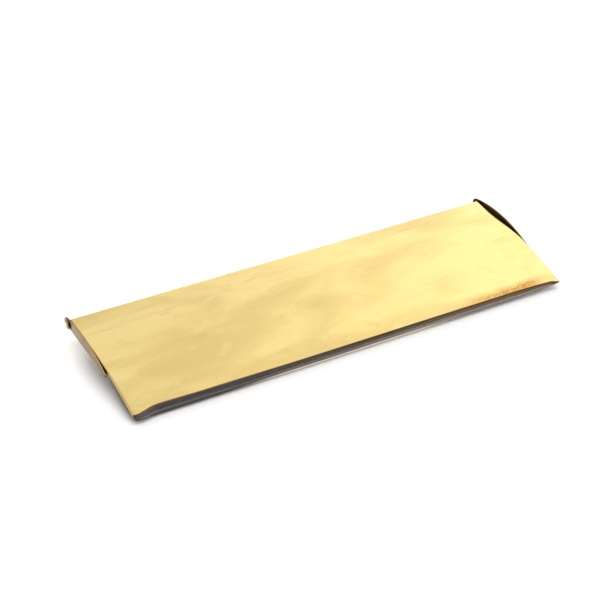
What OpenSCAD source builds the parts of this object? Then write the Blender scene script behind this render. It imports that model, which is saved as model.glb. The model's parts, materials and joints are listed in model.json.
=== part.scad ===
// Letter plate: an arched brass flap that hangs between the two upturned ears of a
// thin back plate, on a domed pivot pin at each end, with two tapped fixing posts.
//
// X runs along the hinge line and Z points out of the door. The free edge of the flap
// is on the -Y side and the hinge is on the +Y side. Z = 0 is the surface that the
// plate lies on, touched by the posts and by the flap's free edge.

/* [Flap] */
// Length of the flap along the hinge line
flap_length = 254; // [200:1:320]
// Width of the flat strip between the hinge axis and the start of the arch
flat_reach = 19.5; // [19:0.5:21]
// Radius of the arched part of the face
arch_radius = 204; // [203:0.1:212]
// Radius of the rounded nose along the free edge
nose_r = 4.6; // [3.5:0.1:5]
// Height of the foremost line of the nose above the surface that the flap touches
nose_rise = 1.3; // [1:0.1:2]
// Thickness of the flap's web
web_t = 1.6; // [1.4:0.1:1.6]
// Thickness of the rim along the free edge
edge_rim_t = 4; // [3.7:0.1:6]
// Thickness of the rims down the two ends
end_rim_t = 2.2; // [1.6:0.1:4]
// Depth of the end rims below the face
end_rim_h = 4; // [3:0.1:4.5]
// Length of the end rims, from the free edge to where they clear the back plate
end_rim_reach = 27.5; // [20:0.5:29]
// Radius worn on the lower corner at the left end of the free edge
left_corner_r = 3.5; // [1:0.1:4]
// Radius worn on the lower corner at the right end of the free edge
right_corner_r = 1.5; // [1:0.1:4]

/* [Hinge] */
// Radius of the bead along the hinge edge
bead_r = 2; // [2:0.05:2.1]
// Radius of the upper rear corner of the bead
bead_corner_r = 1.1; // [1.1:0.1:1.8]
// Height of the hinge axis above the back of the plate
hinge_rise = 2.45; // [2.45:0.05:2.6]
// Radius of the pivot pins
pin_r = 1.2; // [0.8:0.05:1.3]
// Radial clearance of the pins in the flap
pin_clearance = 0.05; // [0.02:0.01:0.1]
// Depth of the pin bores in the ends of the flap
bore_depth = 11; // [8:0.5:20]
// Radius of the domed pin heads and of the washers under them
head_r = 2.25; // [2:0.05:2.25]
// Height of the domed pin heads
head_h = 1.1; // [0.8:0.1:2]
// Thickness of the washers under the heads
washer_t = 0.4; // [0.3:0.1:1]

/* [Back plate] */
// Thickness of the sheet
sheet_t = 1; // [0.8:0.1:1]
// Distance from the hinge axis to the front edge of the plate
plate_reach = 46.2; // [45:0.1:46.4]
// Distance from the hinge axis to the rear edge of the plate
plate_setback = 2.2; // [2.2:0.1:3]
// Distance from each end of the flap to the letter aperture
aperture_inset = 27; // [26:0.5:50]
// Width of the letter aperture
aperture_width = 34; // [28:0.5:36]
// Corner radius of the aperture
aperture_corner_r = 2; // [1:0.5:6]
// Gap between each end of the flap and its ear
ear_gap = 0.3; // [0.2:0.05:0.8]
// Height of the ears above the back of the plate
ear_height = 6.9; // [6:0.1:8]
// Radius of the long curved top of the ears
ear_arc_r = 86; // [82:0.5:110]
// Distance from the hinge axis to the highest point of the ears
ear_crest_reach = 15.9; // [12:0.1:18]
// Length of the ears beyond the hinge axis
ear_overhang = 6.8; // [5:0.1:7]
// Radius of the rounded end of the ears
ear_end_r = 4; // [3:0.1:4]

/* [Fixing posts] */
// Length of the posts behind the plate
post_length = 9; // [9:0.1:9.5]
// Distance from each end of the flap to the centre of its post
post_inset = 15; // [12:0.5:19]
// Radius of the posts
post_r = 4; // [3.5:0.1:4.5]
// Radius of the heads that hold the posts to the plate
post_head_r = 5.5; // [5:0.1:6]
// Thickness of the post heads
post_head_t = 1; // [0.8:0.1:1.2]
// Radius of the tapped bores
tap_r = 2.1; // [1.65:0.05:2.5]
// Depth of the tapped bores
tap_depth = 8; // [5:0.5:8.5]

/* [Hidden] */
$fn = 96;
eps = 0.01;
over = 1;                       // how far a cut runs past the face it leaves

hinge_z = post_length + hinge_rise;
face_z = hinge_z + bead_r;      // flat strip of the face
arch_z = face_z - arch_radius;  // centre line of the arch

// The nose touches the arch from inside, so its centre lies on a circle round the arch's
nose_to_arch = arch_radius - nose_r;
nose_back = sqrt(nose_to_arch ^ 2 - (nose_rise - arch_z) ^ 2);
flap_reach = flat_reach + nose_back + nose_r;
total_depth = flap_reach + ear_overhang;
free_y = -total_depth / 2;      // foremost line of the nose
hinge_y = free_y + flap_reach;  // hinge axis
arch_y = hinge_y - flat_reach;  // where the arch meets the flat strip
nose_y = free_y + nose_r;
meet_y = arch_y - nose_back * arch_radius / nose_to_arch;  // where the nose meets the arch
flap_end = flap_length / 2;

plate_z = post_length;          // rear face of the plate, which lies on the door
plate_rear = hinge_y - plate_setback;
plate_front = hinge_y - plate_reach;
plate_mid = (plate_front + plate_rear) / 2;
aperture_length = flap_length - 2 * aperture_inset;
post_x = flap_end - post_inset;
ear_inner = flap_end + ear_gap;
ear_outer = ear_inner + sheet_t;

LEFT = -1;
RIGHT = 1;
brass = "goldenrod";
dark_brass = "darkgoldenrod";
blackened = "dimgray";

// Puts a profile drawn with its x along Y and its y along Z between two X positions
module along_x(from, to) {
    translate([from, 0, 0])
        rotate([90, 0, 90])
            linear_extrude(to - from)
                children();
}

// Everything under the flap's face behind the nose, lowered by a distance square to it
module under_face(depth) {
    intersection() {
        translate([arch_y, arch_z])
            circle(r = arch_radius - depth, $fn = 720);
        translate([meet_y, 0])
            square([arch_y - meet_y + eps, face_z]);
    }
    translate([arch_y, 0])
        square([flat_reach, face_z - depth]);
}

// Web of the flap, with the bead that carries the pins
module web_profile() {
    difference() {
        under_face(0);
        under_face(web_t);
    }
    translate([hinge_y, hinge_z]) {
        circle(r = bead_r);
        square([bead_r - bead_corner_r, bead_r]);
        square([bead_r, bead_r - bead_corner_r]);
        translate([1, 1] * (bead_r - bead_corner_r))
            circle(r = bead_corner_r);
    }
}

// Rounded nose along the free edge, down to the surface that it touches
module nose_profile() {
    intersection() {
        union() {
            under_face(0);
            translate([nose_y, nose_rise])
                circle(r = nose_r);
        }
        translate([free_y, 0])
            square([edge_rim_t, face_z]);
    }
}

// Turned-down rim at an end, which stops short of the ear
module end_rim_profile() {
    intersection() {
        difference() {
            under_face(0);
            under_face(end_rim_h);
        }
        translate([free_y, 0])
            square([end_rim_reach, face_z]);
    }
}

// What a worn lower corner of the free edge has lost
module corner_loss(side, r) {
    translate([side * flap_end, free_y - over, 0])
        difference() {
            translate([side > 0 ? -r : -over, 0, -over])
                cube([r + over, end_rim_reach, r + over]);
            translate([-side * r, 0, r])
                rotate([-90, 0, 0])
                    cylinder(r = r, h = end_rim_reach);
        }
}

module flap() {
    color(brass)
        difference() {
            union() {
                along_x(-flap_end, flap_end) {
                    web_profile();
                    nose_profile();
                }
                for (side = [LEFT, RIGHT])
                    along_x(side < 0 ? -flap_end : flap_end - end_rim_t,
                            side < 0 ? end_rim_t - flap_end : flap_end)
                        end_rim_profile();
            }
            corner_loss(LEFT, left_corner_r);
            corner_loss(RIGHT, right_corner_r);
            for (side = [LEFT, RIGHT])
                translate([side * flap_end, hinge_y, hinge_z])
                    rotate([0, -side * 90, 0])
                        translate([0, 0, -over])
                            cylinder(r = pin_r + pin_clearance, h = bore_depth + over);
        }
}

// Crescent outline of an ear: one long arc, closed by a round end beyond the hinge
module ear_profile() {
    crest = [hinge_y - ear_crest_reach, plate_z + ear_height];
    arc_centre = crest - [0, ear_arc_r];
    end_y = hinge_y + ear_overhang - ear_end_r;
    reach = ear_arc_r - ear_end_r;
    end_centre = [end_y, arc_centre[1] + sqrt(reach ^ 2 - (end_y - crest[0]) ^ 2)];
    meeting = end_centre + (end_centre - arc_centre) * (2 * ear_end_r / reach);
    front_y = crest[0] - ear_arc_r;
    difference() {
        union() {
            intersection() {
                translate(arc_centre)
                    circle(r = ear_arc_r, $fn = 720);
                polygon([[front_y, plate_z], [end_y, plate_z], end_centre, meeting,
                         [front_y, meeting[1]]]);
            }
            translate(end_centre)
                circle(r = ear_end_r);
        }
        translate([front_y, plate_z - ear_arc_r])
            square([2 * ear_arc_r, ear_arc_r]);
        translate([hinge_y, hinge_z])
            circle(r = pin_r);
    }
}

module rounded_slot(length, width, r) {
    square([length, width - 2 * r], center = true);
    square([length - 2 * r, width], center = true);
    for (sx = [-1, 1], sy = [-1, 1])
        translate([sx * (length / 2 - r), sy * (width / 2 - r)])
            circle(r = r);
}

module back_plate() {
    color(dark_brass)
        union() {
            translate([0, plate_mid, plate_z])
                linear_extrude(sheet_t)
                    difference() {
                        square([2 * ear_inner, plate_rear - plate_front], center = true);
                        rounded_slot(aperture_length, aperture_width, aperture_corner_r);
                        for (side = [LEFT, RIGHT])
                            translate([side * post_x, 0])
                                circle(r = post_r);
                    }
            for (side = [LEFT, RIGHT])
                along_x(side < 0 ? -ear_outer : ear_inner, side < 0 ? -ear_inner : ear_outer)
                    ear_profile();
        }
}

// Pin through an ear, its shank in the end of the flap and its domed head outside
module pivot_pin(side) {
    head_x = ear_outer + washer_t;
    shank_tip = flap_end - bore_depth + over;
    dome_r = (head_r ^ 2 + head_h ^ 2) / (2 * head_h);
    color(brass)
        translate([0, hinge_y, hinge_z])
            rotate([0, side * 90, 0]) {
                translate([0, 0, shank_tip])
                    cylinder(r = pin_r, h = head_x - shank_tip + eps);
                translate([0, 0, head_x])
                    rotate_extrude()
                        intersection() {
                            translate([0, head_h - dome_r])
                                circle(r = dome_r);
                            square([head_r, head_h]);
                        }
            }
}

module pivot_washer(side) {
    color(blackened)
        translate([side * ear_outer, hinge_y, hinge_z])
            rotate([0, side * 90, 0])
                difference() {
                    cylinder(r = head_r, h = washer_t);
                    translate([0, 0, -over])
                        cylinder(r = pin_r, h = washer_t + 2 * over);
                }
}

// Post riveted through the plate, tapped from behind for a bolt through the door
module fixing_post(side) {
    color(dark_brass)
        translate([side * post_x, plate_mid, 0])
            difference() {
                union() {
                    cylinder(r = post_r, h = plate_z + sheet_t + eps);
                    translate([0, 0, plate_z + sheet_t])
                        cylinder(r = post_head_r, h = post_head_t);
                }
                translate([0, 0, -over])
                    cylinder(r = tap_r, h = tap_depth + over);
            }
}

back_plate();
flap();
pivot_pin(LEFT);  // left_pivot_pin
pivot_pin(RIGHT);  // right_pivot_pin
pivot_washer(LEFT);  // left_pivot_washer
pivot_washer(RIGHT);  // right_pivot_washer
fixing_post(LEFT);  // left_fixing_post
fixing_post(RIGHT);  // right_fixing_post
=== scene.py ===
import json
import math

import bmesh
import bpy
import numpy as np
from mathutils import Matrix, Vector
from mathutils.geometry import delaunay_2d_cdt


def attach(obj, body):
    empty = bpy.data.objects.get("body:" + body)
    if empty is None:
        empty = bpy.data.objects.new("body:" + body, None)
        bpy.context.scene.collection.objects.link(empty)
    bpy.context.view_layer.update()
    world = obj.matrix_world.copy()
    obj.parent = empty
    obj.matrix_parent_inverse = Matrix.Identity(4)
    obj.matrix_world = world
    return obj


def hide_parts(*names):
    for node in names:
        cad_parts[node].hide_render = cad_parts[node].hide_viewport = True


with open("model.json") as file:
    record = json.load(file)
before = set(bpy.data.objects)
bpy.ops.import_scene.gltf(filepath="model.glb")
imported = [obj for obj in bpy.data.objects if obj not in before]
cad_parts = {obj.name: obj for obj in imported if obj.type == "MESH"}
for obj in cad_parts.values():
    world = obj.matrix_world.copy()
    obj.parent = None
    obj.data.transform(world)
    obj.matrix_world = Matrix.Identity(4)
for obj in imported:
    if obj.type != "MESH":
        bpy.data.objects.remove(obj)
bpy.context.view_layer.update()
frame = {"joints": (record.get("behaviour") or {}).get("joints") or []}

# ---------------------------------------------------------------- sizes, in millimetres
MM = 0.001
HALF = 127.0                      # half the flap's length
REACH = 77.0                      # hinge axis to the datum line near the free edge
HINGE = tuple(v / MM for v in frame["joints"][0]["pos_m"][1:])  # hinge axis (y, z)
EDGE_Y = HINGE[0] - REACH         # the datum line, which the flap's sections are drawn from
FACE_Z = HINGE[1] + 2.0           # flat strip of the face
FLAT_FROM = REACH - 19.5          # where the arch meets it, from the datum line
ARCH_R = 204.0
ARCH_Z = FACE_Z - ARCH_R          # centre line of the arch
WEB = 1.6                         # thickness of the flap between its rims
WEB_BACK = REACH - 2.2            # where the web's underside meets the hinge bead
RIM_BACK = 2.5                    # back of the rim along the free edge, from the datum line
END_RIM_T = 2.2                   # rims down the ends: width, height and where they stop
END_RIM_H = 4.0
END_RIM_BACK = 26.0
BEAD_R = 2.0                      # bead round the hinge axis, and its squarer rear corner
BEAD_CORNER_R = 1.1
BORE_R = 1.25                     # blind bores for the pins
BORE_DEPTH = 11.0
DRILL_POINT = 0.6

PLATE_Z = 9.0                     # rear face of the back plate
SHEET = 1.0
PLATE_FRONT = HINGE[0] - 46.2
PLATE_REAR = HINGE[0] - 2.2
PLATE_MID = (PLATE_FRONT + PLATE_REAR) / 2
APERTURE_W, APERTURE_D, APERTURE_R = 200.0, 34.0, 2.0

EAR_IN = HALF + 0.3               # inner and outer faces of the ears
EAR_OUT = EAR_IN + SHEET
EAR_ARC_R = 86.0                  # the crescent's top, and its rounded far end
EAR_END_R = 4.0
EAR_CREST = (HINGE[0] - 15.9, PLATE_Z + 6.9)
EAR_REAR = HINGE[0] + 6.8
EAR_TIP_H = 0.6                   # height of the blunt near tip

PIN_R = 1.2
HEAD_R = 2.25
HEAD_H = 1.1
HEAD_RIM = 0.3                    # straight part of the head below its dome
WASHER = 0.4

POST_X = 112.0
POST_R = 4.0
POST_HEAD_R = 5.5
POST_HEAD_H = 1.0
TAP_R = 2.1
TAP_DEPTH = 8.0
TAP_PITCH = 0.8

SMOOTH_ANGLE = math.radians(32)   # edges sharper than this are drawn sharp
JOIN_M = 1e-7                     # points nearer than this are one point, in metres
SHORTEST = 1e-9                   # stands in for the length of a side with no length


# ---------------------------------------------------------------- mesh helpers
def make_object(name, verts, faces, materials, slots=None):
    """A mesh object from points in millimetres, with doubled points joined."""
    mesh = bpy.data.meshes.new(name)
    mesh.from_pydata([tuple(c * MM for c in v) for v in verts], [], faces)
    for m in materials:
        mesh.materials.append(m)
    if slots is not None:
        mesh.polygons.foreach_set("material_index", slots)
    bm = bmesh.new()
    bm.from_mesh(mesh)
    bmesh.ops.remove_doubles(bm, verts=bm.verts, dist=JOIN_M)
    bmesh.ops.dissolve_degenerate(bm, edges=bm.edges, dist=JOIN_M)
    bmesh.ops.recalc_face_normals(bm, faces=bm.faces)
    bm.to_mesh(mesh)
    bm.free()
    mesh.shade_smooth()
    mesh.set_sharp_from_angle(angle=SMOOTH_ANGLE)
    obj = bpy.data.objects.new(name, mesh)
    bpy.context.scene.collection.objects.link(obj)
    return obj


def inset(loop, d):
    """A closed 2D loop moved inwards (to the left of its direction) by d. Points may be doubled
    where d is 0."""
    p = np.array(loop, float)
    before = p - np.roll(p, 1, 0)
    after = np.roll(p, -1, 0) - p
    before /= np.maximum(np.linalg.norm(before, axis=1), SHORTEST)[:, None]
    after /= np.maximum(np.linalg.norm(after, axis=1), SHORTEST)[:, None]
    n1 = np.stack([-before[:, 1], before[:, 0]], 1)
    n2 = np.stack([-after[:, 1], after[:, 0]], 1)
    n = n1 + n2
    n /= np.maximum(np.linalg.norm(n, axis=1), SHORTEST)[:, None]
    miter = np.minimum(1 / np.maximum((n * n1).sum(1), 0.3), 2.0)   # held back at sharp corners
    return p + n * (d * miter)[:, None]


def area(loop):
    """Signed area: positive where the loop runs counter-clockwise."""
    p = np.array(loop, float)
    q = np.roll(p, -1, 0)
    return 0.5 * float((p[:, 0] * q[:, 1] - q[:, 0] * p[:, 1]).sum())


def circle(cx, cy, r, n):
    return [(cx + r * math.cos(2 * math.pi * i / n), cy + r * math.sin(2 * math.pi * i / n))
            for i in range(n)]


def fill(loops, extra=()):
    """Triangles that fill the first loop less the others: (points, triangles)."""
    points = [Vector(p) for loop in loops for p in loop]
    edges = []
    start = 0
    for loop in loops:
        n = len(loop)
        edges += [(start + i, start + (i + 1) % n) for i in range(n)]
        start += n
    points += [Vector(p) for p in extra]
    out = delaunay_2d_cdt(points, edges, [], 2, 1e-7)
    pts = [tuple(v) for v in out[0]]
    rings = [np.array(loop, float) for loop in loops]
    keep = []
    for f in out[2]:
        c = np.mean([pts[i] for i in f], 0)
        if inside(c, rings[0]) and not any(inside(c, r) for r in rings[1:]):
            keep.append(tuple(f))
    return pts, keep


def inside(c, ring):
    """Whether the point c is inside a ring of points."""
    x, y = ring[:, 0], ring[:, 1]
    x2, y2 = np.roll(x, -1), np.roll(y, -1)
    crosses = (y > c[1]) != (y2 > c[1])
    with np.errstate(divide="ignore", invalid="ignore"):
        xi = x + (c[1] - y) * (x2 - x) / (y2 - y)
    return bool((crosses & (c[0] < xi)).sum() % 2)


def slab(loops, low, high, edge, place, steps=3):
    """A flat piece with edges rounded by the radius edge. The first loop is its outline and the
    rest are holes. place turns (u, v, height) into a point."""
    loops = [list(map(tuple, lp if (area(lp) > 0) == (i == 0) else lp[::-1]))
             for i, lp in enumerate(loops)]
    levels = []
    for k in range(steps + 1):
        t = k / steps * math.pi / 2
        levels.append((low + edge * (1 - math.sin(t)), edge * (1 - math.cos(t))))
    levels = levels[::-1]
    levels += [(low + high - h, d) for h, d in levels[::-1]]
    verts, faces = [], []
    for loop in loops:
        n = len(loop)
        base = len(verts)
        for h, d in levels:
            verts += [place(u, v, h) for u, v in inset(loop, d)]
        for k in range(len(levels) - 1):
            for i in range(n):
                j = (i + 1) % n
                faces.append((base + k * n + i, base + k * n + j,
                              base + (k + 1) * n + j, base + (k + 1) * n + i))
    for h, d in (levels[0], levels[-1]):
        pts, tris = fill([[tuple(p) for p in inset(loop, d)] for loop in loops])
        base = len(verts)
        verts += [place(u, v, h) for u, v in pts]
        faces += [tuple(base + i for i in f) for f in tris]
    return verts, faces


def lathe(profile, place, n):
    """A solid of revolution from (radius, height) points; the ends close on the axis."""
    verts, faces = [], []
    for r, h in profile:
        for i in range(n):
            a = 2 * math.pi * i / n
            verts.append(place(r * math.cos(a), r * math.sin(a), h))
    for k in range(len(profile) - 1):
        for i in range(n):
            j = (i + 1) % n
            faces.append((k * n + i, k * n + j, (k + 1) * n + j, (k + 1) * n + i))
    return verts, faces


def joined(parts):
    """Several (points, faces) pairs as one."""
    verts, faces = [], []
    for v, f in parts:
        base = len(verts)
        verts += list(v)
        faces += [tuple(base + i for i in face) for face in f]
    return verts, faces


# ---------------------------------------------------------------- node helpers
class Nodes:
    """A procedural material whose coordinates are millimetres in the row frame at rest."""

    def __init__(self, name):
        self.mat = bpy.data.materials.new(name)
        self.mat.use_nodes = True
        self.tree = self.mat.node_tree
        self.shader = self.tree.nodes["Principled BSDF"]
        coords = self.new("ShaderNodeTexCoord")
        scale = self.new("ShaderNodeVectorMath", operation="SCALE")
        self.link(coords.outputs["Object"], scale.inputs[0])
        scale.inputs["Scale"].default_value = 1 / MM
        self.p = scale.outputs[0]
        self.x, self.y, self.z = self.split(self.p)
        self.normal = self.split(coords.outputs["Normal"])

    def new(self, kind, **props):
        node = self.tree.nodes.new(kind)
        for k, v in props.items():
            setattr(node, k, v)
        return node

    def split(self, vector):
        node = self.new("ShaderNodeSeparateXYZ")
        self.link(vector, node.inputs[0])
        return tuple(node.outputs)

    def link(self, a, b):
        self.tree.links.new(a, b)

    def feed(self, socket, value):
        if isinstance(value, bpy.types.NodeSocket):
            self.link(value, socket)
        elif isinstance(value, (tuple, list)) and len(value) == 3 and socket.type == "RGBA":
            socket.default_value = (*value, 1)
        else:
            socket.default_value = value

    def math(self, op, a, b=0.0):
        node = self.new("ShaderNodeMath", operation=op)
        for socket, value in zip(node.inputs, (a, b)):
            self.feed(socket, value)
        return node.outputs[0]

    def times(self, *values):
        product = values[0]
        for value in values[1:]:
            product = self.math("MULTIPLY", product, value)
        return product

    def noise(self, size, detail, rough, shift=(0, 0, 0), distort=0.0):
        """size is the feature size along x, y and z in millimetres."""
        stretch = self.new("ShaderNodeMapping")
        stretch.inputs["Scale"].default_value = [1 / s for s in size]
        stretch.inputs["Location"].default_value = shift
        self.link(self.p, stretch.inputs[0])
        node = self.new("ShaderNodeTexNoise")
        self.link(stretch.outputs[0], node.inputs["Vector"])
        node.inputs["Scale"].default_value = 1
        node.inputs["Detail"].default_value = detail
        node.inputs["Roughness"].default_value = rough
        node.inputs["Distortion"].default_value = distort
        return node.outputs[0]

    def span(self, value, a, b, lo=0.0, hi=1.0):
        """value from a to b becomes lo to hi on a smooth curve, held beyond."""
        node = self.new("ShaderNodeMapRange", interpolation_type="SMOOTHSTEP")
        for i, v in enumerate((value, a, b, lo, hi)):
            self.feed(node.inputs[i], v)
        return node.outputs[0]

    def ramp(self, value, stops):
        """Colour from (position, colour) stops."""
        node = self.new("ShaderNodeValToRGB")
        els = node.color_ramp.elements
        while len(els) < len(stops):
            els.new(0.5)
        for e, (at, col) in zip(els, stops):
            e.position = at
            e.color = (*col, 1)
        self.link(value, node.inputs[0])
        return node.outputs[0]

    def mix(self, t, a, b):
        """Colour from a to b."""
        node = self.new("ShaderNodeMix", data_type="RGBA")
        node.clamp_factor = True
        self.feed(node.inputs[0], t)
        self.feed(node.inputs[6], a)
        self.feed(node.inputs[7], b)
        return node.outputs[2]

    def fade(self, t, a, b):
        """Number from a to b."""
        node = self.new("ShaderNodeMix", data_type="FLOAT")
        self.feed(node.inputs[0], t)
        self.feed(node.inputs[2], a)
        self.feed(node.inputs[3], b)
        return node.outputs[0]

    def bump(self, height, strength, distance_mm, normal=None):
        node = self.new("ShaderNodeBump")
        node.inputs["Strength"].default_value = strength
        node.inputs["Distance"].default_value = distance_mm * MM
        self.link(height, node.inputs["Height"])
        if normal is not None:
            self.link(normal, node.inputs["Normal"])
        return node.outputs[0]

    def finish(self, color, rough, normal=None, metallic=1.0):
        s = self.shader.inputs
        self.feed(s["Base Color"], color)
        self.feed(s["Roughness"], rough)
        s["Metallic"].default_value = metallic
        if normal is not None:
            self.link(normal, s["Normal"])
        return self.mat


def srgb(r, g, b):
    """An sRGB colour out of 255 as linear values."""
    def f(c):
        c /= 255
        return c / 12.92 if c <= 0.04045 else ((c + 0.055) / 1.055) ** 2.4
    return f(r), f(g), f(b)


# ---------------------------------------------------------------- materials
def flap_outside():
    m = Nodes("flap_brass")
    from_edge = m.math("SUBTRACT", m.y, EDGE_Y)

    # polished face: broad clouds, soft stains, faint wiping marks and small specks
    clouds = m.noise((60, 26, 30), 3, 0.5, distort=0.6)
    stains = m.noise((22, 12, 12), 4, 0.55, (5, 2, 9), distort=0.35)
    wipes = m.noise((60, 3.5, 12), 4, 0.6, distort=0.3)
    fine = m.noise((9, 0.8, 3), 3, 0.6)
    specks = m.noise((1.5, 1.2, 1.5), 2, 0.5)
    gold = m.mix(m.span(clouds, 0.35, 0.65), srgb(226, 200, 130), srgb(243, 218, 146))
    gold = m.mix(m.span(stains, 0.58, 0.74, 0, 0.5), gold, srgb(214, 186, 116))
    gold = m.mix(m.span(stains, 0.42, 0.28, 0, 0.45), gold, srgb(244, 222, 158))
    far = m.span(from_edge, 30, 76, 0.25, 0.75)
    gold = m.mix(m.times(m.span(wipes, 0.56, 0.74, 0, 0.55), far), gold, srgb(206, 174, 118))
    gold = m.mix(m.span(fine, 0.58, 0.78, 0, 0.1), gold, srgb(200, 168, 106))
    gold = m.mix(m.span(specks, 0.69, 0.75, 0, 0.35), gold, srgb(180, 146, 88))

    # burnished, browner strip next to the free edge, strongest towards the right-hand end
    wander = m.times(m.math("SUBTRACT", stains, 0.5), 9.0)
    near_edge = m.span(m.math("ADD", from_edge, wander), 1.0, 6.5, 1, 0)
    right_end = m.times(m.span(m.x, 46, 96, 0.05, 1.0), m.span(m.x, 108, 122, 1, 0.2))
    grit = m.span(m.noise((1.1, 0.8, 1), 3, 0.6), 0.4, 0.62, 0.6, 1)
    gold = m.mix(m.times(near_edge, right_end, grit), gold, srgb(184, 128, 60))

    # tarnish on the rounded nose with painted reflection: the upper part is painted lighter for the
    # room it mirrors, the lower part darker for the shaded table, and a bright line along the foot
    # is a painted reflection of the table
    along = m.noise((42, 1.5, 0.6), 5, 0.65)
    grain = m.noise((5, 0.6, 0.3), 3, 0.6, (3, 1, 7))
    streak = m.math("ADD", m.times(along, 0.7), m.times(grain, 0.3))
    warm = m.span(m.x, -90, 110)
    upper = m.ramp(streak, [(0.3, srgb(150, 138, 142)), (0.5, srgb(196, 186, 188)),
                            (0.68, srgb(232, 222, 214))])
    upper = m.mix(warm, upper, srgb(250, 224, 186))
    lower = m.ramp(streak, [(0.3, srgb(52, 48, 51)), (0.48, srgb(74, 70, 72)),
                            (0.62, srgb(104, 99, 98))])
    lower = m.mix(m.times(warm, 0.85), lower, srgb(140, 126, 118))
    # painted reflection: a bright line where the foot turns down towards the table
    painted_foot_reflection = m.times(m.span(m.x, -75, -40), m.span(m.x, 30, 75, 1, 0),
                        m.span(m.normal[2], 0.16, 0.04))
    lower = m.mix(painted_foot_reflection, lower, srgb(236, 222, 206))
    tarnish_and_painted_reflection = m.mix(m.span(m.normal[2], 0.46, 0.26), upper, lower)

    # how far the surface has turned over towards the front, with a ragged line; the underside
    # of the foot counts as turned
    steep = m.math("ADD", m.times(m.normal[1], -1.0), m.times(m.math("SUBTRACT", along, 0.5), 0.16))
    below = m.times(m.span(m.normal[2], -0.1, -0.5), m.span(from_edge, 10, 20, 1, 0))
    steep = m.math("ADD", steep, below)
    on_nose = m.span(m.math("SUBTRACT", steep, m.span(m.x, -60, 20, 0, 0.07)), 0.53, 0.61)
    brown_end = m.span(m.x, -60, 0, 0.66, 0.8)
    brown_line = m.times(m.span(steep, 0.43, 0.55), m.span(steep, 0.58, brown_end, 1, 0))
    color = m.mix(on_nose, gold, tarnish_and_painted_reflection)
    color = m.mix(m.times(brown_line, 0.75), color, srgb(140, 102, 58))

    # a brown line where the face turns over the ends, a paler strip and darker end faces; beside
    # the ears the strip and the end faces are painted near-black as shade in the gap between ear
    # and flap
    outward = m.math("ABSOLUTE", m.normal[0])
    ear_gap_shade = m.span(from_edge, 26, 31)
    flat_enough = m.span(steep, 0.35, 0.6, 1, 0)
    strip = m.times(m.span(outward, 0.4, 0.55), flat_enough)
    color = m.mix(strip, color, m.mix(ear_gap_shade, srgb(214, 190, 138), srgb(46, 32, 16)))
    turned = m.times(m.span(outward, 0.14, 0.3), m.span(outward, 0.4, 0.55, 1, 0))
    color = m.mix(m.times(turned, 0.7), color, srgb(100, 70, 34))
    at_end = m.span(outward, 0.8, 0.94)
    color = m.mix(at_end, color, m.mix(ear_gap_shade, srgb(96, 70, 38), srgb(30, 21, 11)))

    rough = m.span(clouds, 0.35, 0.65, 0.07, 0.13)
    rough = m.fade(on_nose, rough, 0.26)
    rough = m.fade(at_end, rough, 0.3)
    wave = m.noise((34, 20, 26), 2, 0.5)
    normal = m.bump(wave, 0.2, 0.3)
    normal = m.bump(wipes, 0.2, 0.02, normal)
    normal = m.bump(fine, 0.2, 0.004, normal)
    return m.finish(color, rough, normal)


def brass(name, light, mid, dark, rough, cell, brush, inner=None, depth=0.03):
    """Dull brass with mottling and fine brushing, whose sizes are cell and brush. inner is the pair
    of colours for painted shade on the side of an ear that faces the flap, and brings the ears'
    other marks with it."""
    m = Nodes(name)
    mottle = m.noise(cell, 5, 0.62, distort=0.4)
    lines = m.noise(brush, 3, 0.6)
    tone = m.math("ADD", m.times(mottle, 0.65), m.times(lines, 0.35))
    color = m.ramp(tone, [(0.32, dark), (0.5, mid), (0.66, light)])
    roughness = m.span(mottle, 0.3, 0.7, rough - 0.07, rough + 0.12)
    # painted shade on the side of each ear that faces the flap
    if inner is not None:
        side = m.math("ABSOLUTE", m.x)
        above = m.span(m.z, PLATE_Z + SHEET - 0.2, PLATE_Z + SHEET)
        shaded_inside_face = m.times(m.span(side, EAR_IN + 0.15, EAR_IN + 0.35, 1, 0), above)
        color = m.mix(shaded_inside_face, color, m.ramp(tone, [(0.35, inner[0]), (0.7, inner[1])]))
        roughness = m.fade(shaded_inside_face, roughness, 0.5)
        # near-black round the pin heads, and a painted highlight along the top rim
        dy, dz = m.math("SUBTRACT", m.y, HINGE[0]), m.math("SUBTRACT", m.z, HINGE[1])
        from_pin = m.math("SQRT", m.math("ADD", m.math("POWER", dy, 2.0), m.math("POWER", dz, 2.0)))
        dark_round_pin = m.span(m.math("ADD", from_pin, m.times(mottle, 1.5)), 3.6, 5.4, 0.9, 0)
        color = m.mix(m.times(dark_round_pin, above), color, srgb(30, 22, 13))
        # painted highlight: the upward-facing top rim of each ear is lighter
        rim = m.times(m.span(m.normal[2], 0.45, 0.8), above,
                      m.span(side, EAR_IN + 0.1, EAR_IN + 0.3), m.span(from_pin, 5, 10, 0.25, 1))
        color = m.mix(m.times(rim, 0.85), color, srgb(178, 152, 112))
    normal = m.bump(mottle, 0.4, depth)
    normal = m.bump(lines, 0.3, depth / 3, normal)
    return m.finish(color, roughness, normal)


def black_washer():
    m = Nodes("washer_black")
    grain = m.noise((0.5, 0.5, 0.5), 4, 0.6)
    color = m.ramp(grain, [(0.3, srgb(9, 7, 7)), (0.7, srgb(30, 25, 22))])
    rough = m.span(grain, 0.3, 0.7, 0.5, 0.75)
    return m.finish(color, rough, m.bump(grain, 0.4, 0.05), metallic=0.0)


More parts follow.
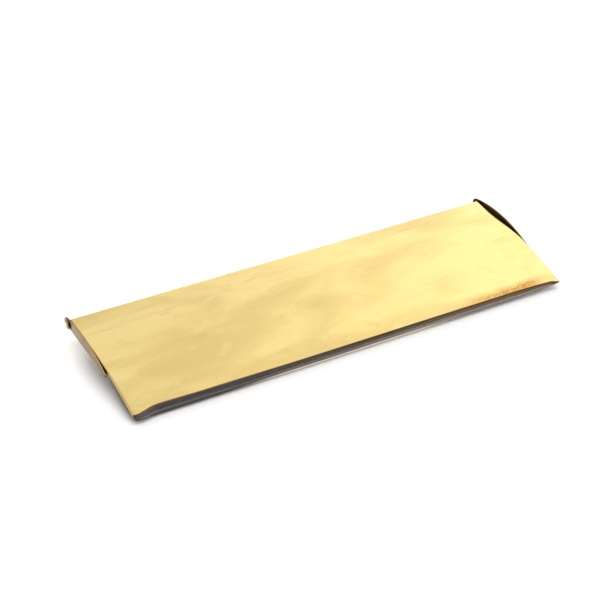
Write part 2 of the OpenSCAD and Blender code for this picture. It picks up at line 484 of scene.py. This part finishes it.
MAT_FLAP = flap_outside()
MAT_UNDER = brass("flap_underside", srgb(178, 146, 92), srgb(142, 112, 66), srgb(92, 70, 42), 0.48,
                  cell=(3, 3, 3), brush=(2, 2, 2), depth=0.12)
# the ears' inner colours are painted shade on their faces towards the flap
MAT_EAR = brass("back_plate_brass", srgb(172, 146, 108), srgb(144, 120, 86), srgb(104, 82, 54),
                0.34, cell=(6, 4, 4), brush=(0.6, 12, 0.6),
                inner=(srgb(44, 31, 18), srgb(84, 62, 38)))
MAT_PIN = brass("pin_brass", srgb(222, 206, 176), srgb(160, 132, 88), srgb(74, 57, 31), 0.14,
                cell=(1.2, 1.2, 1.2), brush=(0.8, 0.8, 0.8))
MAT_POST = brass("post_brass", srgb(206, 176, 112), srgb(176, 144, 84), srgb(128, 100, 58), 0.3,
                 cell=(3, 3, 3), brush=(2, 2, 0.25))
MAT_WASHER = black_washer()


# ---------------------------------------------------------------- flap
# wear of the free edge as (x, value) pairs: how far the foot is worn up off the table, the
# radius of the nose, and how far the nose reaches in front of the datum line
LIFT = ((-127, 1.3), (-113, 0.6), (-60, 0.4), (-25, 0.0), (35, 0.0), (90, 1.2), (112, 1.7),
        (127, 3.4))
RADIUS = ((-127, 3.2), (-113, 5.2), (-85, 4.7), (-30, 4.2), (30, 4.1), (100, 3.8), (112, 3.3),
          (121, 2.6), (127, 0.9))
OVERHANG = ((-127, 2.42), (-113, 1.07), (-85, 1.41), (-30, 1.75), (30, 1.82), (100, 2.02),
            (112, 2.15), (121, 2.2), (127, 3.0))
FOOT = 0.8                        # front of the flat foot below the nose
FOOT_DROP = 0.2                   # least height of the nose's centre above the foot
INNER_R = 0.25                    # small radius inside the foot

# rounding of the ends: beside the ears, along the rest of the face, at the tip of the nose and
# underneath
EAR_ROUND, FACE_ROUND, TIP_ROUND, UNDER_ROUND = 0.45, 1.1, 0.3, 0.25
FACE_ROUND_FROM, FACE_ROUND_OVER = 34.0, 12.0   # where it grows, from the datum line

# the lower corners are worn back, by these radii up the end and along it
CORNER_FROM = 112.0
LEFT_CORNER, RIGHT_CORNER = (4.2, 2.8), (0.8, 0.5)


def smooth(t):
    """0 to 1 on a smooth curve, held beyond."""
    t = min(max(t, 0.0), 1.0)
    return t * t * (3 - 2 * t)


def face_z(y, depth=0.0):
    """Height of the face, or of a surface that deep below it, at a distance from the datum line."""
    dy = max(FLAT_FROM - y, 0.0)
    r = ARCH_R - depth
    return ARCH_Z + math.sqrt(r * r - dy * dy)


def along(table, x):
    """Value at x of a smooth curve through the (x, value) pairs."""
    value = table[0][1]
    for (x0, v0), (x1, v1) in zip(table, table[1:]):
        value += (v1 - v0) * smooth((x - x0) / (x1 - x0))
    return value


def nose(x):
    """Radius and centre (y, z) of the worn nose at x, which touches the arch from inside."""
    r = along(RADIUS, x)
    y = r - along(OVERHANG, x)
    z = ARCH_Z + math.sqrt((ARCH_R - r) ** 2 - (FLAT_FROM - y) ** 2)
    return r, y, z


def arc(cy, cz, ry, rz, start, stop, n):
    """Points of an elliptical arc, both ends included."""
    return [(cy + ry * math.cos(a), cz + rz * math.sin(a)) for a in np.linspace(start, stop, n)]


def flap_section(x, rim_depth):
    """Closed section of the flap at x, as (y, z) from the datum line, with how much the
    rounded edge of an end takes off at each point and how many points lie outside. The section
    starts under the hinge bead and runs over the face, round the nose and back underneath."""
    hz = HINGE[1]
    corner = BEAD_R - BEAD_CORNER_R
    r, yc, zc = nose(x)
    lift = min(along(LIFT, x), zc - FOOT_DROP)
    web_start = math.pi - math.asin((FACE_Z - WEB - hz) / BEAD_R)
    meet = math.atan2(zc - ARCH_Z, yc - FLAT_FROM)
    line = arc(REACH, hz, BEAD_R, BEAD_R, web_start, 2 * math.pi, 25)
    line += arc(REACH + corner, hz + corner, BEAD_CORNER_R, BEAD_CORNER_R, 0, math.pi / 2, 8)
    line += [(y, FACE_Z) for y in np.linspace(REACH + corner, FLAT_FROM, 12)[1:]]
    line += arc(FLAT_FROM, ARCH_Z, ARCH_R, ARCH_R, math.pi / 2, meet, 61)[1:]
    grow = FACE_ROUND - EAR_ROUND
    take = [EAR_ROUND + grow * smooth((FACE_ROUND_FROM - y) / FACE_ROUND_OVER) for y, z in line]
    steps = 18
    line += arc(yc, zc, r, r, meet, math.pi, steps + 1)[1:]
    shrink = FACE_ROUND - TIP_ROUND
    take += [min(FACE_ROUND - shrink * smooth(i / steps), 0.8 * r) for i in range(1, steps + 1)]
    # where the nose is worn thin, the rounding is held to a third of its thickness
    take = [min(t, (z - lift) / 3) for t, (y, z) in zip(take, line)]
    foot = arc(FOOT, zc, FOOT + r - yc, zc - lift, math.pi, 1.5 * math.pi, 10)[1:]
    line += foot + [(RIM_BACK - INNER_R, lift)]
    take += [min(UNDER_ROUND, (zc - lift) / 3)] * len(foot)
    outside = len(line)
    line.append((RIM_BACK, lift + INNER_R))
    line += [(y, face_z(y, rim_depth)) for y in np.linspace(RIM_BACK, END_RIM_BACK, 24)]
    line += [(y, face_z(y, WEB)) for y in np.linspace(END_RIM_BACK, FLAT_FROM, 26)]
    line += [(y, FACE_Z - WEB) for y in np.linspace(FLAT_FROM, WEB_BACK, 5)[1:]]
    take += [UNDER_ROUND] * (len(line) - len(take))
    return line, take, outside


def worn_corner(side, y, z, front):
    """How far the worn corner of the free edge pulls an end in at (y, z)."""
    by_z, by_y = LEFT_CORNER if side < 0 else RIGHT_CORNER

    def lost(r, d):
        return r - math.sqrt(r * r - (r - min(max(d, 0.0), r)) ** 2)

    a = lost(by_z, z)
    return a + lost(by_y, y - front) * (1 - a / by_z)


def flap_mesh():
    """Points, faces and material slots of the flap. Its rows of points are (x, how much of the
    end's rounding applies, depth of the underside below the face)."""
    verts, faces, slots = [], [], []
    rim = HALF - END_RIM_T
    turn = [math.pi / 2 * k / 6 for k in range(7)]
    end_rows = [(HALF - FACE_ROUND * (1 - math.cos(t)), 1 - math.sin(t), END_RIM_H) for t in turn]
    end_rows.append((rim, 0, END_RIM_H))
    end_rows += [(x, 0, WEB) for x in (rim, 123.5, 122, 120.5, 119, 117, 114.5, CORNER_FROM)]
    rows = [(-x, part, depth) for x, part, depth in end_rows]
    rows += [(float(x), 0, WEB) for x in np.linspace(-108, 108, 55)]
    rows += end_rows[::-1]

    def placed(x, y, z):
        lean = smooth((abs(x) - CORNER_FROM) / (rim - CORNER_FROM))
        if lean > 0:
            side = -1 if x < 0 else 1
            r, yc, _ = nose(x)
            return x - side * lean * worn_corner(side, y, z, yc - r), EDGE_Y + y, z
        return x, EDGE_Y + y, z

    ends = []
    for x, part, depth in rows:
        line, take, outside = flap_section(x, depth)
        line = [tuple(p) for p in inset(line, np.array(take) * part)]
        ends.append(line)
        verts += [placed(x, y, z) for y, z in line]
    n = len(ends[0])
    for k in range(len(rows) - 1):
        for i in range(n):
            j = (i + 1) % n
            faces.append((k * n + i, k * n + j, (k + 1) * n + j, (k + 1) * n + i))
            slots.append(0 if i < outside - 1 else 1)
    # ends, with the blind bores for the pins; the worn corner needs points inside the face
    for line, x, side in ((ends[0], -HALF, -1), (ends[-1], HALF, 1)):
        bore = circle(REACH, HINGE[1], BORE_R, 40)
        shrunk = inset(line, 0.35)
        extra = [(y, z) for y in np.arange(-2, 6, 0.6) for z in np.arange(0.5, 6.0, 0.6)
                 if inside((y, z), shrunk)]
        pts, tris = fill([line, bore], extra)
        base = len(verts)
        verts += [placed(x, y, z) for y, z in pts]
        faces += [tuple(base + i for i in f) for f in tris]
        slots += [0] * len(tris)
        wall = len(verts)
        m = len(bore)
        depth = x - side * BORE_DEPTH
        verts += [(x, EDGE_Y + y, z) for y, z in bore]
        verts += [(depth, EDGE_Y + y, z) for y, z in bore]
        verts.append((depth - side * DRILL_POINT, EDGE_Y + REACH, HINGE[1]))
        for i in range(m):
            j = (i + 1) % m
            faces.append((wall + i, wall + j, wall + m + j, wall + m + i))
            faces.append((wall + m + i, wall + m + j, wall + 2 * m))
            slots += [1, 1]
    return verts, faces, slots


verts, faces, slots = flap_mesh()
flap = make_object("flap_casting", verts, faces, [MAT_FLAP, MAT_UNDER], slots)
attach(flap, "flap")
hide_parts("flap")


# ---------------------------------------------------------------- back plate and ears
def ear_outline():
    """Crescent outline of an ear as (y, z), counter-clockwise, blunt at its near tip."""
    r, end_r = EAR_ARC_R, EAR_END_R
    cy, cz = EAR_CREST[0], EAR_CREST[1] - r
    end_y = EAR_REAR - end_r
    end_z = cz + math.sqrt((r - end_r) ** 2 - (end_y - cy) ** 2)
    top = math.atan2(end_z - cz, end_y - cy)
    low = -math.asin((end_z - PLATE_Z) / end_r)
    tip = math.pi - math.asin((PLATE_Z + EAR_TIP_H - cz) / r)
    out = arc(end_y, end_z, end_r, end_r, low, top, 21)
    out += arc(cy, cz, r, r, top, tip, 61)[1:]
    out.append((out[-1][0], PLATE_Z))
    return out


def rounded_rect(cx, cy, w, h, r, n=8):
    out = []
    for k, (sx, sy) in enumerate(((1, 1), (-1, 1), (-1, -1), (1, -1))):
        corner_x, corner_y = cx + sx * (w / 2 - r), cy + sy * (h / 2 - r)
        for i in range(n + 1):
            a = math.pi / 2 * (k + i / n)
            out.append((corner_x + r * math.cos(a), corner_y + r * math.sin(a)))
    return out


parts = []
for side in (-1, 1):
    parts.append(slab([ear_outline(), circle(*HINGE, PIN_R, 48)], EAR_IN, EAR_OUT, 0.28,
                      lambda u, v, h, s=side: (s * h, u, v)))
bite = 0.3                        # how far the plate runs into each ear
plate_loops = [
    rounded_rect(0, PLATE_MID, 2 * (EAR_IN + bite), PLATE_REAR - PLATE_FRONT, 0.8),
    rounded_rect(0, PLATE_MID, APERTURE_W, APERTURE_D, APERTURE_R),
    circle(-POST_X, PLATE_MID, POST_R, 48),
    circle(POST_X, PLATE_MID, POST_R, 48),
]
parts.append(slab(plate_loops, PLATE_Z, PLATE_Z + SHEET, 0.2, lambda u, v, h: (u, v, h)))
verts, faces = joined(parts)
plate = make_object("back_plate_sheet", verts, faces, [MAT_EAR])
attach(plate, "back")
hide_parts("back_plate")


# ---------------------------------------------------------------- pins, washers and posts
def pin_profile():
    """(radius, height) from the shank's tip to the top of the domed head."""
    shank = EAR_OUT + WASHER
    tip = HALF - BORE_DEPTH + 1.0
    chamfer = 0.25
    dome = shank + HEAD_RIM
    pts = [(0, tip), (PIN_R - chamfer, tip), (PIN_R, tip + chamfer), (PIN_R, shank),
           (HEAD_R - 0.12, shank), (HEAD_R, shank + 0.1), (HEAD_R, dome)]
    steps = 14
    for i in range(1, steps + 1):
        a = math.pi / 2 * i / steps
        pts.append((HEAD_R * math.cos(a), dome + (HEAD_H - HEAD_RIM) * math.sin(a)))
    return pts


def post_profile():
    """(radius, height) of a tapped post with a riveted head, down the threaded bore, round the
    outside and over the head."""
    head_z = PLATE_Z + SHEET
    thread, chamfer, head_round = 0.3, 0.4, 0.35
    pts = [(0, TAP_DEPTH + 0.9), (TAP_R, TAP_DEPTH)]
    z = TAP_DEPTH
    while z > TAP_PITCH:
        pts += [(TAP_R, z - 0.1), (TAP_R + thread, z - TAP_PITCH / 2),
                (TAP_R, z - TAP_PITCH + 0.1)]
        z -= TAP_PITCH
    pts += [(TAP_R, 0.5), (TAP_R + 0.45, 0), (POST_R - chamfer, 0), (POST_R, chamfer),
            (POST_R, head_z), (POST_HEAD_R - 0.1, head_z), (POST_HEAD_R, head_z + 0.1)]
    side_r, side_z = POST_HEAD_R - head_round, head_z + POST_HEAD_H - head_round
    steps = 5
    for i in range(steps + 1):
        a = math.pi / 2 * i / steps
        pts.append((side_r + head_round * math.cos(a), side_z + head_round * math.sin(a)))
    pts.append((0, head_z + POST_HEAD_H))
    return pts


for side, word in ((-1, "left"), (1, "right")):
    at_pin = lambda u, v, h, s=side: (s * h, HINGE[0] + u, HINGE[1] + v)
    at_post = lambda u, v, h, s=side: (s * POST_X + u, PLATE_MID + v, h)
    rings = [circle(0, 0, HEAD_R, 48), circle(0, 0, PIN_R, 48)]
    washer = slab(rings, EAR_OUT, EAR_OUT + WASHER, 0.15, at_pin)
    pieces = (
        ("pivot_pin", lathe(pin_profile(), at_pin, 48), MAT_PIN, "pin_brass"),
        ("pivot_washer", washer, MAT_WASHER, "washer_black"),
        ("fixing_post", lathe(post_profile(), at_post, 64), MAT_POST, "post_brass"),
    )
    for what, (verts, faces), material, slot in pieces:
        obj = make_object(f"{word}_{what}_detail", verts, faces, [material])
        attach(obj, "back")
        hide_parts(f"{word}_{what}")


# ---------------------------------------------------------------- floor, lights and camera
def floor(half):
    """A square of pale paper, 2 * half metres wide."""
    mesh = bpy.data.meshes.new("floor")
    corners = [(x * half, y * half, 0) for x, y in ((-1, -1), (1, -1), (1, 1), (-1, 1))]
    mesh.from_pydata(corners, [], [(0, 1, 2, 3)])
    obj = bpy.data.objects.new("floor", mesh)
    bpy.context.scene.collection.objects.link(obj)
    m = Nodes("floor_paper")
    grain = m.noise((2, 2, 2), 3, 0.5)
    color = m.ramp(grain, [(0.3, (0.86, 0.85, 0.84)), (0.7, (0.9, 0.89, 0.88))])
    mesh.materials.append(m.finish(color, 0.8, m.bump(grain, 0.1, 0.05), metallic=0.0))


def area_light(name, at, size, power):
    """A soft panel aimed at the origin, which lights the scene but isn't mirrored in the metal."""
    data = bpy.data.lights.new(name, "AREA")
    data.shape = "RECTANGLE"
    data.size, data.size_y = size
    data.energy = power
    obj = bpy.data.objects.new(name, data)
    bpy.context.scene.collection.objects.link(obj)
    obj.location = at
    obj.rotation_euler = (-Vector(at)).to_track_quat("-Z", "Y").to_euler()
    obj.visible_glossy = False


def studio_world():
    """White panels behind and above, brighter to the right, and a dark room in front."""
    world = bpy.data.worlds.new("studio")
    bpy.context.scene.world = world
    world.use_nodes = True
    nodes, links = world.node_tree.nodes, world.node_tree.links
    coords = nodes.new("ShaderNodeTexCoord")
    sep = nodes.new("ShaderNodeSeparateXYZ")
    links.new(coords.outputs["Generated"], sep.inputs[0])

    def span(value, a, b, lo, hi):
        node = nodes.new("ShaderNodeMapRange")
        node.interpolation_type = "SMOOTHSTEP"
        links.new(value, node.inputs[0])
        for i, v in zip((1, 2, 3, 4), (a, b, lo, hi)):
            node.inputs[i].default_value = v
        return node.outputs[0]

    front = span(sep.outputs[1], -0.36, -0.12, 0.09, 1.0)
    across = span(sep.outputs[0], 0.25, 0.66, 0.97, 1.6)
    product = nodes.new("ShaderNodeMath")
    product.operation = "MULTIPLY"
    links.new(front, product.inputs[0])
    links.new(across, product.inputs[1])
    links.new(product.outputs[0], nodes["Background"].inputs["Strength"])
    nodes["Background"].inputs["Color"].default_value = (1.0, 0.995, 0.985, 1)


def add_camera(at, tilt, turn, lens):
    """A camera tilted up from straight down, then turned about +Z, both in degrees."""
    data = bpy.data.cameras.new("camera")
    data.lens = lens
    data.sensor_width = 36
    obj = bpy.data.objects.new("camera", data)
    bpy.context.scene.collection.objects.link(obj)
    obj.location = at
    obj.rotation_euler = (math.radians(tilt), 0, math.radians(turn))
    bpy.context.scene.camera = obj


floor(half=3.0)
area_light("soft_back", (0.1, 1.1, 0.5), (1.4, 0.4), 16)
area_light("soft_front", (0.1, -0.95, 0.85), (0.8, 0.5), 7)
area_light("overhead", (0.1, 0.1, 1.3), (0.9, 0.9), 4)
studio_world()
add_camera((-0.3411, -0.5605 + EDGE_Y * MM, 0.4738), tilt=56.13, turn=-28.53, lens=94.87)
bpy.context.scene.view_settings.view_transform = "Standard"
